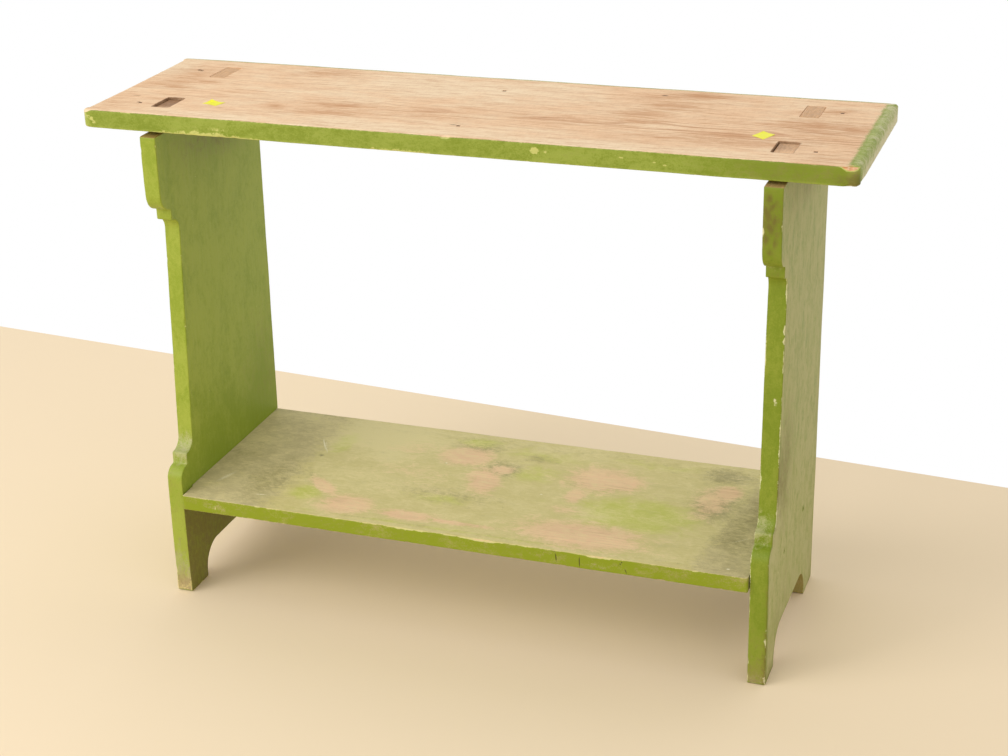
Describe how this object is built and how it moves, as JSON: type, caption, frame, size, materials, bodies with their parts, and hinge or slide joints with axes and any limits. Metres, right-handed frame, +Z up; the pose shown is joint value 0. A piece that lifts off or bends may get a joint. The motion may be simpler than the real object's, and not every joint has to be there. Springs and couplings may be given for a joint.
{
  "type": "bucket bench",
  "caption": "Low country bench with a long tenoned top over two moulded end boards and a wide shelf near the floor, for standing pails on and under.",
  "frame": {"origin": "on the floor under the middle of the bench's bounding box", "axes": "+X along the length to the right end seen from the moulded front, +Y from the moulded front edge to the plain back edge, +Z up"},
  "size_m": [0.926, 0.284, 0.633],
  "materials": {
    "bare_top": "bare worn pine, scrubbed face, green paint left on its edges",
    "painted_ends": "old olive-green paint, dusty outside, rubbed along the arrises",
    "painted_shelf": "olive-green paint worn through to bare wood in patches",
    "nail_iron": "rusted iron"
  },
  "bodies": {
    "root": {"top_board": "bare_top", "left_end_board": "painted_ends", "right_end_board": "painted_ends", "shelf_board": "painted_shelf", "left_shelf_nails": "nail_iron", "right_shelf_nails": "nail_iron", "top_nails": "nail_iron"}
  },
  "joints": []
}
